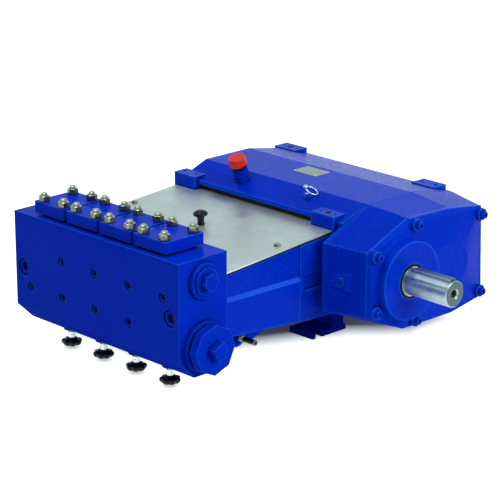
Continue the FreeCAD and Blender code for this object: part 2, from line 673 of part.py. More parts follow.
def gear_crown():
    """Facets that rise from inside the end cover's rim to a round crown over the gear."""
    centre = V(COVER_END, CRANK_Y, SHAFT_Z)
    top = centre + AX * (CROWN_END - COVER_END)
    corners = [V(COVER_END, y, z) for y, z in gear_narrow()]
    inward = [(centre - corner).normalize() for corner in corners]
    foot = [corner + i * CROWN_INSET for corner, i in zip(corners, inward)]
    arcs = []
    for one, two in zip(inward, inward[1:] + inward[:1]):
        between = (one + two).normalize()
        arcs.append(Part.Arc(top - one * CROWN_R, top - between * CROWN_R, top - two * CROWN_R).toShape())
    return Part.makeLoft([Part.makePolygon(foot + foot[:1]), Part.Wire(arcs)], True, True)


def end_cover():
    outline = gear_narrow()
    body = side_prism(outline, GEAR_END, COVER_END)
    body = body.makeFillet(COVER_RIM_R, edges_at(body, AX, COVER_END))
    boss = turned([(COVER_END - ROOT, BOSS_ROOT_R), (COVER_END, BOSS_ROOT_R), (COVER_END + BOSS_ROOT_TALL, BOSS_FOOT_R),
                   (BOSS_END, BOSS_R)], SHAFT_Y, SHAFT_Z)
    body = body.fuse(gear_crown()).fuse(boss)
    tools = []
    for (y, z), inset in zip(outline, BOLT_INSETS):
        if inset:
            base = V(GEAR_END, y + inset[0], z + inset[1])
            body = body.fuse(cylinder(BOLT_BOSS_R, base, AX, BOLT_BOSS_END - GEAR_END))
            tools.append(cylinder(BOLT_BORE_R, base, AX, BOLT_BOSS_END - GEAR_END))
    tools.append(cylinder(SEAL_R, V(BOSS_END - SEAL_THICK, SHAFT_Y, SHAFT_Z), AX, SEAL_THICK))
    tools.append(cylinder(SHOULDER_R + SHAFT_CLEAR, V(GEAR_END, SHAFT_Y, SHAFT_Z), AX, BOSS_END - GEAR_END))
    return cut(body, *tools).removeSplitter()


def shaft_seal():
    base = V(BOSS_END - SEAL_THICK, SHAFT_Y, SHAFT_Z)
    return tube(SEAL_R, SHOULDER_R + SEAL_CLEAR, base, AX, SEAL_THICK)


def key_box(low, high):
    """A block over the key's length and width, between two heights above the shaft's axis."""
    return box((KEY_START, KEY_END), (SHAFT_Y - KEY_WIDE / 2, SHAFT_Y + KEY_WIDE / 2),
               (SHAFT_Z + low, SHAFT_Z + high))


def drive_shaft():
    start = V(SHAFT_START, SHAFT_Y, SHAFT_Z)
    journal = cylinder(SHAFT_R, start, AX, SHAFT_END - SHAFT_START)
    journal = journal.makeChamfer(SHAFT_CHAMFER, edges_at(journal, AX, SHAFT_END))
    shaft = joined(journal, cylinder(SHOULDER_R, start, AX, SHOULDER_END - SHAFT_START))
    keyway = key_box(SHAFT_R - KEY_DEEP, SHAFT_R)
    end = V(SHAFT_END, SHAFT_Y, SHAFT_Z)
    thread = cylinder(CENTRE_THREAD_R, end, -AX, CENTRE_THREAD_DEEP)
    sink = Part.makeCone(CENTRE_SINK_R, CENTRE_THREAD_R, CENTRE_SINK_DEEP, end, -AX)
    return cut(shaft, keyway, thread, sink)


def shaft_key():
    return key_box(SHAFT_R - KEY_DEEP, SHAFT_R - KEY_DEEP + KEY_TALL)


def foot():
    """The front foot on the drive side, with its slot open outwards."""
    plate = box((FOOT_OUT - FOOT_LONG, FOOT_OUT), (FOOT_FRONT, FOOT_FRONT + FOOT_WIDE), (0, FOOT_THICK))
    slot_y = FOOT_FRONT + SLOT_IN
    slot = box((FOOT_OUT - SLOT_LONG, FOOT_OUT), (slot_y - SLOT_WIDE / 2, slot_y + SLOT_WIDE / 2), (0, FOOT_THICK))
    end = cylinder(SLOT_WIDE / 2, V(FOOT_OUT - SLOT_LONG, slot_y, 0), AZ, FOOT_THICK)
    leg = box((FOOT_OUT - LEG_LONG, FOOT_OUT), (FOOT_FRONT + LEG_IN, FOOT_FRONT + LEG_IN + LEG_WIDE),
              (FOOT_THICK, LEG_TOP))
    leg = leg.makeFillet(LEG_CORNER, upright_edges(leg))
    return joined(cut(plate, slot, end), leg)


def filler_neck():
    neck = cylinder(NECK_R, on_slope(FILLER_X, FILLER_Y), SLOPE_NORMAL, NECK_TALL)
    groove_at = on_slope(FILLER_X, FILLER_Y, NECK_GROOVE_AT)
    return neck.cut(tube(NECK_R, NECK_R - NECK_GROOVE_DEEP, groove_at, SLOPE_NORMAL, NECK_GROOVE))


def filler_seal():
    return cylinder(FILLER_SEAL_R, on_slope(FILLER_X, FILLER_Y, NECK_TALL), SLOPE_NORMAL, FILLER_SEAL_TALL)


def filler_cap():
    base = on_slope(FILLER_X, FILLER_Y, NECK_TALL + FILLER_SEAL_TALL)
    skirt = regular_prism(CAP_FACETS, CAP_WIDE, base, SLOPE_NORMAL, CAP_TALL - CAP_CROWN)
    crown_at = base + SLOPE_NORMAL * (CAP_TALL - CAP_CROWN)
    crown = Part.makeCone(CAP_WIDE / 2 - 1, CAP_WIDE / 2 - 1 - CAP_CROWN, CAP_CROWN, crown_at, SLOPE_NORMAL)
    return joined(skirt, crown)


def dipstick():
    """Rod with its collar on the boss, a head, and the pull ring hung below the head."""
    foot = on_slope(STICK_X, STICK_Y, STICK_END_GAP - STICK_BORE_DEEP)
    rod_long = STICK_BORE_DEEP - STICK_END_GAP + STICK_HEAD_AT
    rod = cylinder(STICK_R, foot, SLOPE_NORMAL, rod_long)
    collar_at = on_slope(STICK_X, STICK_Y, STICK_BOSS_TALL)
    collar = cylinder(STICK_COLLAR_R, collar_at, SLOPE_NORMAL, STICK_COLLAR_TALL)
    head = cylinder(STICK_HEAD_R, on_slope(STICK_X, STICK_Y, STICK_HEAD_AT), SLOPE_NORMAL, STICK_HEAD_TALL)
    side = AX * math.cos(RING_SWING) + SLOPE_UP * math.sin(RING_SWING)
    down = side * math.cos(RING_HANG) - SLOPE_NORMAL * math.sin(RING_HANG)
    normal = side * math.sin(RING_HANG) + SLOPE_NORMAL * math.cos(RING_HANG)
    middle = on_slope(STICK_X, STICK_Y, RING_AT) + down * RING_R
    wire = []
    for i in range(RING_FACETS + 1):
        a = math.pi * (2 * i + 1) / RING_FACETS
        wire.append(middle - down * (RING_R + RING_WIRE_R * math.cos(a)) + normal * (RING_WIRE_R * math.sin(a)))
    ring = Part.Face(Part.makePolygon(wire)).revolve(middle, normal, 360)
    return joined(rod, collar, head, ring)


def drain_valve():
    """Drain screwed into the lantern's lug, with its hexagon and outlet nipple."""
    base = V(LUG_END, DRAIN_Y, DRAIN_Z)
    hexagon = regular_prism(6, DRAIN_HEX, base, AX, DRAIN_HEX_TALL)
    nipple = cylinder(NIPPLE_R, base + AX * DRAIN_HEX_TALL, AX, NIPPLE_LONG)
    bore = cylinder(NIPPLE_BORE_R, base + AX * (DRAIN_HEX_TALL + NIPPLE_LONG), -AX, NIPPLE_BORE_DEEP)
    return joined(hexagon, nipple).cut(bore)


def save(name, shape):
    placed = shape.copy()
    placed.translate(-ORIGIN)
    placed.exportStep(os.path.join("parts", name + ".step"))


def main():
    os.makedirs("parts", exist_ok=True)
    save("valve_block", valve_block())
    for i, x in enumerate(COLUMNS, 1):
        save("valve_cover_%d" % i, valve_cover(x))
        save("lifting_screw_%d" % i, lifting_screw(x))
        save("star_grip_%d" % i, star_grip(x))
    save("screw_bushings", screw_bushings())
    save("suction_plug", suction_plug())
    save("delivery_plug", delivery_plug())
    save("lantern", lantern())
    save("plate_gasket", plate_gasket())
    save("splash_plate", splash_plate())
    save("plate_knob", plate_knob())
    save("strip_seal", strip_seal())
    save("crankcase", crankcase())
    save("left_bearing_cover", left_bearing_cover())
    save("gear_housing", gear_housing())
    save("end_cover", end_cover())
    save("shaft_seal", shaft_seal())
    save("drive_shaft", drive_shaft())
    save("shaft_key", shaft_key())
    shell = crankcase_shell()
    right = foot().cut(shell)
    back = foot().mirror(V(0, FOOT_FRONT + FEET_SPAN / 2, 0), AY).cut(shell)
    save("foot_front_right", right)
    save("foot_front_left", mirrored_x(right))
    save("foot_back_right", back)
    save("foot_back_left", mirrored_x(back))
    save("filler_neck", filler_neck())
    save("filler_seal", filler_seal())
    save("filler_cap", filler_cap())
    save("dipstick", dipstick())
    save("drain_valve", drain_valve())


main()
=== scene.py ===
import bmesh
import bpy
import math
from collections import namedtuple
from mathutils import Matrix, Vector


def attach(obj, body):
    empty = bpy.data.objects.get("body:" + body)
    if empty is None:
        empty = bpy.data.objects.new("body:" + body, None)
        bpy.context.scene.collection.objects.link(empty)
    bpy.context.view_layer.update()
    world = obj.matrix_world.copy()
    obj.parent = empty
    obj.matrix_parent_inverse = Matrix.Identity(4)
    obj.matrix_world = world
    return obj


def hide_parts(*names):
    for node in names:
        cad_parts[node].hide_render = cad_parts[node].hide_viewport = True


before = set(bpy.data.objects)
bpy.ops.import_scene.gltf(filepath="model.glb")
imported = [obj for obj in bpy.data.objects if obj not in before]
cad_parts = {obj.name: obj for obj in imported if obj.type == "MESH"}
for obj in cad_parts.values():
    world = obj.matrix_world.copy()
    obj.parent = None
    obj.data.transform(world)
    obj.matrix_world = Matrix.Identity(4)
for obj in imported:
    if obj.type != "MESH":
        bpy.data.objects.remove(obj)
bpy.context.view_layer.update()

# The looks of a quadruplex plunger pump. Pieces are sized and placed in millimetres in the
# drawing's frame, which has X = 0 midway between the plungers, Y = 0 on the block's front face
# and Z = 0 on the floor. The floor, lamps and camera are in metres in the pump's own frame.
MM = 0.001
ORIGIN = Vector((160, 461, 0))
X, Y, Z = Vector((1, 0, 0)), Vector((0, 1, 0)), Vector((0, 0, 1))

# Columns of plungers, each with its valve cover and its lifting screw
PITCH = 120
COLUMNS = (-1.5 * PITCH, -0.5 * PITCH, 0.5 * PITCH, 1.5 * PITCH)
PLUNGER_Z = 205

# Faces that climb towards the back: the splash plate's, and the crankcase's front slope
PLATE_FOOT_Y, PLATE_FOOT_Z, PLATE_RISE = 151, 277, 27 / 362
PLATE_THICK = 3
SLOPE_FOOT_Y, SLOPE_FOOT_Z, SLOPE_RISE = 521, 329, 32 / 84


def upward_normal(rise):
    """The normal of a face that climbs by this much for each mm towards the back."""
    tilt = math.atan(rise)
    return Vector((0, -math.sin(tilt), math.cos(tilt)))


PLATE_OUT = upward_normal(PLATE_RISE)
SLOPE_OUT = upward_normal(SLOPE_RISE)
SLOPE_UP = SLOPE_OUT.cross(X)


def on_plate(x, y):
    """A point on top of the splash plate."""
    return Vector((x, y, PLATE_FOOT_Z + (y - PLATE_FOOT_Y) * PLATE_RISE + PLATE_THICK))


def on_slope(x, y, height=0.0):
    """A point on the crankcase's front slope, or at a height over it."""
    return Vector((x, y, SLOPE_FOOT_Z + (y - SLOPE_FOOT_Y) * SLOPE_RISE)) + SLOPE_OUT * height


# Materials

class Nodes:
    """A node tree, with short calls for the nodes that are used often."""

    def __init__(self, tree):
        self.tree = tree

    def put(self, node, key, value):
        """Links a socket to the node's input, or sets the input's own value."""
        if isinstance(value, bpy.types.NodeSocket):
            self.tree.links.new(value, node.inputs[key])
        else:
            node.inputs[key].default_value = value

    def node(self, kind, settings=(), inputs=()):
        made = self.tree.nodes.new(kind)
        for key, value in dict(settings).items():
            setattr(made, key, value)
        for key, value in dict(inputs).items():
            self.put(made, key, value)
        return made

    def spread(self, value, low, high, out_low=0.0, out_high=1.0):
        """Turns low to high into out_low to out_high, and holds those beyond."""
        return self.node("ShaderNodeMapRange", inputs={
            "Value": value, "From Min": low, "From Max": high,
            "To Min": out_low, "To Max": out_high}).outputs[0]

    def mix(self, factor, one, two):
        """A colour from one to two as the factor goes from 0 to 1."""
        return self.node("ShaderNodeMix", {"data_type": "RGBA"}, {0: factor, 6: one, 7: two}).outputs[2]

    def math(self, operation, one, two):
        return self.node("ShaderNodeMath", {"operation": operation}, {0: one, 1: two}).outputs[0]

    def along(self, vector, axis):
        """One coordinate of a vector."""
        return self.node("ShaderNodeSeparateXYZ", inputs={"Vector": vector}).outputs[axis]

    def seen_directly(self):
        """1 for rays from the camera and for reflected and transmitted ones, else 0."""
        path = self.node("ShaderNodeLightPath").outputs
        seen = self.math("MAXIMUM", path["Is Camera Ray"], path["Is Glossy Ray"])
        return self.math("MAXIMUM", seen, path["Is Transmission Ray"])


class Paint(Nodes):
    """A material with a principled shader, and textures that are fixed to the object."""

    def __init__(self, name):
        self.material = bpy.data.materials.new(name)
        self.material.use_nodes = True
        super().__init__(self.material.node_tree)
        self.tree.nodes.clear()
        self.shader = self.node("ShaderNodeBsdfPrincipled")
        self.node("ShaderNodeOutputMaterial", inputs={"Surface": self.shader.outputs[0]})
        coordinates = self.node("ShaderNodeTexCoord").outputs
        self.coord = coordinates["Object"]
        self.facing = coordinates["Normal"]

    def stretched(self, *scale):
        return self.node("ShaderNodeMapping", inputs={"Vector": self.coord, "Scale": scale}).outputs[0]

    def noise(self, scale, detail=3.0, rough=0.55, vector=None):
        return self.node("ShaderNodeTexNoise", inputs={
            "Vector": vector or self.coord, "Scale": scale,
            "Detail": detail, "Roughness": rough}).outputs["Fac"]

    def wander(self, scale, low=0.0, high=1.0, detail=3.0, rough=0.55):
        """A value that drifts from low to high over the surface."""
        return self.spread(self.noise(scale, detail, rough), 0.3, 0.7, low, high)

    def ramp(self, value, stops):
        made = self.node("ShaderNodeValToRGB", inputs={"Fac": value})
        elements = made.color_ramp.elements
        while len(elements) < len(stops):
            elements.new(1.0)
        for element, (position, colour) in zip(elements, stops):
            element.position = position
            element.color = colour
        return made.outputs[0]

    def rounding(self, radius):
        """The surface's normal, with its edges rounded by this radius in mm."""
        return self.node("ShaderNodeBevel", {"samples": 6}, {"Radius": radius * MM}).outputs[0]

    def openness(self, reach, inside=False):
        """How open a point is within reach in mm, from 0 to 1. Inside, it is low by outer edges."""
        return self.node("ShaderNodeAmbientOcclusion",
                         {"samples": 6, "inside": inside, "only_local": inside},
                         {"Distance": reach * MM}).outputs["AO"]

    def bump(self, height, depth, normal=None):
        """Relief of this depth in mm, on top of another normal where one is given."""
        made = self.node("ShaderNodeBump", inputs={
            "Height": height, "Distance": depth * MM, "Strength": 1.0})
        if normal:
            self.put(made, "Normal", normal)
        return made.outputs[0]

    def finished(self, **values):
        """The material, once the shader's own sockets are set or linked."""
        for key, value in values.items():
            self.put(self.shader, key.replace("_", " "), value)
        return self.material


def rgb(r, g, b):
    return (r, g, b, 1.0)


DEEP_BLUE = rgb(0.0, 0.019, 0.480)
CLEAR_BLUE = rgb(0.0, 0.025, 0.560)
PALE_FLECK_GLINT = rgb(0.0, 0.080, 0.90)
DARK_FLECK_SHADE = rgb(0.0, 0.010, 0.28)
RIM_HIGHLIGHT_BLUE = rgb(0.0, 0.115, 0.91)
EDGE_HIGHLIGHT_BLUE = rgb(0.05, 0.25, 0.97)
CREVICE_SHADE_BLUE = rgb(0.0, 0.003, 0.07)
LEDGE_LIGHT_BLUE = rgb(0.025, 0.12, 0.85)
GLOSS_BLUE = rgb(0.05, 0.30, 1.0)


def blue_paint(name, grain, peel, speckle_and_glint, rim, rough, rounded, sheen, ledge_light=0.0):
    """Ultramarine machine enamel, with painted highlights at its edges, painted shade in its crevices, and
    duller undersides.

    grain and peel are the relief of the casting and of the paint, and rounded the radius of the
    edges, all in mm. speckle, rim and ledge say from 0 to 1 how strongly the flecks, which are partly
    painted glints and shade, the painted highlights on the rims, and the painted light on faces
    that look up show. sheen is the index of refraction.
    """
    p = Paint(name)
    base = p.mix(p.wander(5.0, detail=2.0), DEEP_BLUE, CLEAR_BLUE)
    # Flecks of about 2 mm, some paler and some darker than the rest: partly the paint's own speckle, partly
    # painted glints and painted shade of its orange peel
    fleck = p.noise(430.0, rough=0.75)
    base = p.mix(p.spread(fleck, 0.48, 0.72, 0.0, speckle_and_glint), base, PALE_FLECK_GLINT)
    base = p.mix(p.spread(fleck, 0.30, 0.48, speckle_and_glint, 0.0), base, DARK_FLECK_SHADE)
    # Painted highlights: a wide pale rim, and a thin bright line in patches along the edges that face up
    base = p.mix(p.spread(p.openness(8.0, inside=True), 0.50, 0.97, rim, 0.0), base, RIM_HIGHLIGHT_BLUE)
    normal = p.rounding(rounded)
    upward = p.along(normal, "Z")
    edge = p.spread(p.openness(2.4, inside=True), 0.45, 0.9, 1.0, 0.0)
    patches = p.spread(p.noise(90.0), 0.35, 0.65, 0.4, 1.0)
    patches = p.math("MULTIPLY", patches, p.spread(upward, 0.0, 0.6, 0.3, 1.0))
    base = p.mix(p.math("MULTIPLY", edge, patches), base, EDGE_HIGHLIGHT_BLUE)
    # Painted shade in crevices and concave corners
    base = p.mix(p.spread(p.openness(9.0), 0.45, 0.95, 0.75, 0.0), base, CREVICE_SHADE_BLUE)
    # Faces that look up are painted paler: painted light on the ledges
    if ledge_light:
        base = p.mix(p.spread(upward, 0.40, 0.55, 0.0, ledge_light), base, LEDGE_LIGHT_BLUE)
    normal = p.bump(p.noise(240.0, rough=0.6), grain, normal)
    normal = p.bump(p.noise(620.0, detail=2.0, rough=0.5), peel, normal)
    dull_below = p.spread(upward, -0.45, -0.10, 0.6, 0.0)
    roughness = p.math("ADD", p.wander(60.0, rough - 0.04, rough + 0.05), dull_below)
    return p.finished(Base_Color=base, Roughness=roughness, Normal=normal,
                      IOR=sheen, Specular_Tint=GLOSS_BLUE)


def stainless():
    """Brushed sheet with cloudy stains."""
    p = Paint("stainless_sheet")
    cloud = p.wander(9.0, detail=5.0, rough=0.62)
    stains = p.spread(p.noise(40.0, detail=6.0, rough=0.75), 0.40, 0.65, 0.0, 0.45)
    base = p.mix(cloud, rgb(0.56, 0.60, 0.57), rgb(0.72, 0.75, 0.71))
    base = p.mix(stains, base, rgb(0.53, 0.57, 0.55))
    brushed = p.noise(900.0, detail=2.0, rough=0.6, vector=p.stretched(0.02, 1.0, 1.0))
    return p.finished(Base_Color=base, Roughness=p.spread(cloud, 0.0, 1.0, 0.38, 0.5),
                      Normal=p.bump(brushed, 0.02, p.rounding(0.8)), Metallic=0.85)


def rubber():
    p = Paint("black_rubber_compound")
    base = p.mix(p.noise(300.0), rgb(0.002, 0.002, 0.002), rgb(0.008, 0.008, 0.008))
    return p.finished(Base_Color=base, Roughness=p.wander(150.0, 0.5, 0.7),
                      Normal=p.bump(p.noise(600.0), 0.05, p.rounding(0.6)), IOR=1.2)


def black_plastic():
    p = Paint("black_moulding")
    base = p.mix(p.wander(14.0), rgb(0.002, 0.003, 0.005), rgb(0.006, 0.008, 0.012))
    return p.finished(Base_Color=base, Roughness=p.wander(200.0, 0.28, 0.42),
                      Normal=p.bump(p.noise(450.0, detail=2.0), 0.03, p.rounding(0.8)), IOR=1.3)


def red_plastic():
    p = Paint("red_moulding")
    base = p.mix(p.wander(30.0), rgb(0.76, 0.016, 0.010), rgb(0.86, 0.028, 0.018))
    return p.finished(Base_Color=base, Roughness=p.wander(200.0, 0.28, 0.40),
                      Normal=p.bump(p.noise(500.0, detail=2.0), 0.03, p.rounding(0.5)), IOR=1.35)


def turned_steel(name, dark, bright, rough, relief, hollow_shade_reach):
    """A start on machined steel: its paint, and its colour, which the caller sets.

    It has turning marks round X of this relief in mm, and painted shade in hollows of this reach.
    """
    p = Paint(name)
    marks = p.noise(1500.0, detail=2.0, rough=0.5, vector=p.stretched(1.0, 0.02, 0.02))
    base = p.mix(p.wander(25.0, detail=4.0), dark, bright)
    # Painted shade in hollows
    base = p.mix(p.spread(p.openness(hollow_shade_reach), 0.3, 0.95, 0.85, 0.0), base, rgb(0.02, 0.025, 0.03))
    p.finished(Roughness=p.wander(70.0, rough - 0.03, rough + 0.05),
               Normal=p.bump(marks, relief, p.rounding(0.6)), Metallic=1.0)
    return p, base


def bright_zinc():
    p, base = turned_steel("bright_zinc", rgb(0.60, 0.66, 0.66), rgb(0.76, 0.82, 0.82),
                           rough=0.24, relief=0.006, hollow_shade_reach=14.0)
    return p.finished(Base_Color=base)


# The face at the shaft's end gets painted shade, and its shoulder doesn't: the end lies past this X, in
# metres
END_SHADE_FROM, END_SHADE_TO = 0.435, 0.440


def shaft_steel():
    """Ground steel, whose marks stretch its highlights along X, with painted shade on its end face."""
    p, base = turned_steel("ground_steel", rgb(0.23, 0.32, 0.36), rgb(0.34, 0.43, 0.47),
                           rough=0.30, relief=0.0004, hollow_shade_reach=3.0)
    # Painted shade on the face of the shaft's end
    end_on = p.spread(p.along(p.facing, "X"), 0.93, 0.98, 0.0, 0.90)
    at_end = p.spread(p.along(p.coord, "X"), END_SHADE_FROM, END_SHADE_TO)
    base = p.mix(p.math("MULTIPLY", end_on, at_end), base, rgb(0.06, 0.08, 0.09))
    around = p.node("ShaderNodeTangent", {"direction_type": "RADIAL", "axis": "X"}).outputs[0]
    return p.finished(Base_Color=base, Tangent=around, Anisotropic=0.88, Anisotropic_Rotation=0.25)


# Colours of the chromate film by its thickness, also standing for painted reflections that change by facet
FILM_AND_REFLECTION = ((0.30, rgb(0.09, 0.09, 0.06)), (0.40, rgb(0.15, 0.18, 0.11)), (0.47, rgb(0.23, 0.28, 0.10)),
        (0.53, rgb(0.12, 0.10, 0.08)), (0.60, rgb(0.19, 0.14, 0.15)), (0.68, rgb(0.10, 0.12, 0.09)),
        (0.78, rgb(0.22, 0.25, 0.21)))


def yellow_zinc():
    """Chromated zinc, olive and gold, with pink and green patches by facet that are partly painted
    reflections.
    """
    p = Paint("yellow_zinc")
    # Patches that change by facet: partly the film's own colours, partly painted reflections
    film_and_facet_reflection = p.node("ShaderNodeVectorMath", {"operation": "MULTIPLY_ADD"},
                      {0: p.facing, 1: (1.6, 1.6, 1.6), 2: p.stretched(40, 40, 40)}).outputs[0]
    base = p.ramp(p.noise(1.0, detail=2.0, rough=0.5, vector=film_and_facet_reflection), FILM_AND_REFLECTION)
    upward = p.along(p.facing, "Z")
    # Faces that look up are painted paler: painted light
    base = p.mix(p.spread(upward, 0.25, 0.60, 0.0, 0.7), base, rgb(0.52, 0.58, 0.46))
    # Painted shade in hollows and near the cover
    base = p.mix(p.spread(p.openness(6.0), 0.30, 0.75, 0.7, 0.0), base, rgb(0.03, 0.03, 0.02))
    # Painted highlights along the edges
    edge = p.spread(p.openness(0.9, inside=True), 0.5, 0.9, 0.4, 0.0)
    base = p.mix(edge, base, rgb(0.62, 0.68, 0.58))
    return p.finished(Base_Color=base, Roughness=p.wander(220.0, 0.20, 0.32),
                      Normal=p.bump(p.noise(500.0), 0.012, p.rounding(0.25)), Metallic=0.9)


def plate_metal():
    """Dull brushed aluminium."""
    p = Paint("bare_name_plate")
    brushed = p.noise(1800.0, detail=2.0, rough=0.6, vector=p.stretched(0.02, 1.0, 1.0))
    patches = p.spread(p.noise(60.0, detail=4.0), 0.35, 0.7)
    base = p.mix(patches, rgb(0.33, 0.38, 0.35), rgb(0.42, 0.47, 0.43))
    return p.finished(Base_Color=base, Roughness=p.spread(brushed, 0.3, 0.7, 0.40, 0.55),
                      Normal=p.bump(brushed, 0.01), Metallic=0.6)


def dark_steel():
    """Oiled steel, also used as painted shade at the bottoms of sockets and on threads in shade."""
    p = Paint("dark_steel")
    patches = p.spread(p.noise(90.0, detail=4.0), 0.35, 0.7)
    base = p.mix(patches, rgb(0.015, 0.016, 0.018), rgb(0.05, 0.048, 0.04))
    return p.finished(Base_Color=base, Roughness=p.wander(200.0, 0.3, 0.5),
                      Normal=p.bump(p.noise(500.0), 0.03, p.rounding(0.4)), Metallic=0.8)


# Each finish is a material and the record's slot that it belongs to
Finish = namedtuple("Finish", "material slot")
SMOOTH_BLUE = Finish(blue_paint("blue_enamel_machined", grain=0.10, peel=0.04, speckle_and_glint=0.45, rim=0.05,
                                rough=0.15, rounded=1.2, sheen=1.07), "blue_paint")
CAST_BLUE = Finish(blue_paint("blue_enamel_cast", grain=0.30, peel=0.12, speckle_and_glint=0.75, rim=0.50,
                              rough=0.24, rounded=2.2, sheen=1.115), "blue_paint")
# The lantern's enamel is the cast one, with painted light on its faces that look up
LANTERN_BLUE = Finish(blue_paint("blue_enamel_lantern", grain=0.30, peel=0.12, speckle_and_glint=0.75, rim=0.50,
                                 rough=0.24, rounded=1.2, sheen=1.115, ledge_light=0.75), "blue_paint")
STAINLESS = Finish(stainless(), "stainless")
RUBBER = Finish(rubber(), "black_rubber")
PLASTIC = Finish(black_plastic(), "black_plastic")
RED = Finish(red_plastic(), "red_plastic")
SHAFT_STEEL = Finish(shaft_steel(), "bright_steel")
BRIGHT_STEEL = Finish(bright_zinc(), "bright_steel")
ZINC = Finish(yellow_zinc(), "bright_steel")
PLATE = Finish(plate_metal(), "stainless")
DARK_STEEL = Finish(dark_steel(), "bright_steel")


def dress(finish, *names):
    """Gives a finish to CAD nodes, also to those that a piece replaces."""
    for name in names:
        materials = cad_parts[name].data.materials
        materials.clear()
        materials.append(finish.material)


def each(name):
    """The names of a node that each column has one of."""
    return ["%s_%d" % (name, number) for number in range(1, len(COLUMNS) + 1)]


dress(SMOOTH_BLUE, "valve_block", "suction_plug", "delivery_plug", "screw_bushings", "filler_neck",
      "foot_front_right", "foot_front_left", "foot_back_right", "foot_back_left", *each("valve_cover"))
dress(CAST_BLUE, "crankcase", "left_bearing_cover", "gear_housing", "end_cover")
dress(LANTERN_BLUE, "lantern")
dress(RUBBER, "plate_gasket", "strip_seal", "shaft_seal", "filler_seal")
dress(STAINLESS, "splash_plate")
dress(PLASTIC, "plate_knob", *each("star_grip"))
dress(SHAFT_STEEL, "drive_shaft", "shaft_key")
dress(BRIGHT_STEEL, "dipstick", "drain_valve", *each("lifting_screw"))
dress(RED, "filler_cap")


# Outlines, which give a radius at each angle

def polygon(across, corners, eased=0.0):
    """A polygon by its width across flats, with a corner at 0; its corners are cut back by eased."""
    half = math.pi / corners
    most = across / 2 / math.cos(half) - eased
    return lambda angle: min(across / 2 / math.cos(angle % (2 * half) - half), most)


def hexagon(across):
    return polygon(across, 6)


def scalloped(outer, depth, lobes):
    """A circle with hollows of this depth between its lobes."""
    def radius(angle):
        wave = 0.5 + 0.5 * math.cos(angle * lobes)
        return outer - depth * (1 - wave) ** 1.4
    return radius


def grown(outline, amount):
    """An outline further out by an amount, or further in by a negative one."""
    return lambda angle: outline(angle) + amount


def within(outline, most):
    """An outline cut off at a greatest radius."""
    return lambda angle: min(outline(angle), most)


def value_at(value, angle):
    """A number as it is, or an outline's value at the angle."""
    return value(angle) if callable(value) else value


# Meshes

def side_axes(axis, turn=0):
    """Two directions square to the axis, the first at the turn's angle in degrees."""
    first = X if abs(axis.x) < 0.9 else Y
    first = (first - axis * first.dot(axis)).normalized()
    second = axis.cross(first)
    a = math.radians(turn)
    return first * math.cos(a) + second * math.sin(a), second * math.cos(a) - first * math.sin(a)


def add_corner(bm, at):
    return bm.verts.new((at - ORIGIN) * MM)


def join_loops(bm, loops):
    """Faces from each loop of corners to the next."""
    for one, two in zip(loops, loops[1:]):
        for i in range(len(one)):
            j = (i + 1) % len(one)
            bm.faces.new((one[i], one[j], two[j], two[i]))


def close_ends(bm, loops):
    bm.faces.new(list(reversed(loops[0])))
    bm.faces.new(loops[-1])


def add_rings(bm, rings, base, axis, turn=0, sides=48):
    """A closed solid through rings of (height along the axis, radius), each a number or an outline."""
    first, second = side_axes(axis, turn)
    loops = []
    for height, radius in rings:
        loop = []
        for i in range(sides):
            angle = 2 * math.pi * i / sides
            out = first * math.cos(angle) + second * math.sin(angle)
            at = base + axis * value_at(height, angle) + out * value_at(radius, angle)
            loop.append(add_corner(bm, at))
        loops.append(loop)
    join_loops(bm, loops)
    close_ends(bm, loops)


def add_torus(bm, centre, axis, ring_r, wire_r, steps=64, sides=16):
    first, second = side_axes(axis)
    loops = []
    for i in range(steps):
        a = 2 * math.pi * i / steps
        out = first * math.cos(a) + second * math.sin(a)
        loop = []
        for j in range(sides):
            b = 2 * math.pi * j / sides
            at = centre + out * (ring_r + wire_r * math.cos(b)) + axis * (wire_r * math.sin(b))
            loop.append(add_corner(bm, at))
        loops.append(loop)
    join_loops(bm, loops + loops[:1])


def finish_piece(name, bm, finish, body="pump", sharp=32):
    """Makes a piece that rides on a body. Edges over this angle in degrees stay sharp."""
    mesh = bpy.data.meshes.new(name)
    bmesh.ops.recalc_face_normals(bm, faces=bm.faces)
    bm.to_mesh(mesh)
    bm.free()
    for face in mesh.polygons:
        face.use_smooth = True
    mesh.set_sharp_from_angle(angle=math.radians(sharp))
    mesh.materials.append(finish.material)
    piece = bpy.data.objects.new(name, mesh)
    bpy.context.scene.collection.objects.link(piece)
    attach(piece, body)
    return piece


def turned(name, rings, base, axis, finish, body="pump", turn=0, sides=48, sharp=32):
    """A piece made of rings round an axis."""
    bm = bmesh.new()
    add_rings(bm, rings, Vector(base), axis, turn, sides)
    return finish_piece(name, bm, finish, body, sharp)


def thread(start, end, outer, pitch, depth):
    """Rings of a thread between two heights."""
    turns = int((end - start) / pitch)
    rings = []
    for i in range(turns):
        at = start + i * pitch
        rings += [(at, outer - depth), (at + pitch * 0.4, outer), (at + pitch * 0.6, outer)]
    return rings + [(start + turns * pitch, outer - depth)]


# Nuts of the valve covers, each left at its own angle when it was tightened
COVER_TOP = 376
STUD_X = 36
STUD_ROWS = (31, 119)
NUT_FLATS, NUT_TALL, NUT_CROWN_R = 24.0, 14.0, 11.6
NUT_CHAMFER = math.radians(40)
STUD_R = 7.9
NUT_TURNS = ((8, 41, 22, 55), (13, 33, 4, 47), (27, 17, 51, 38), (2, 29, 44, 37))


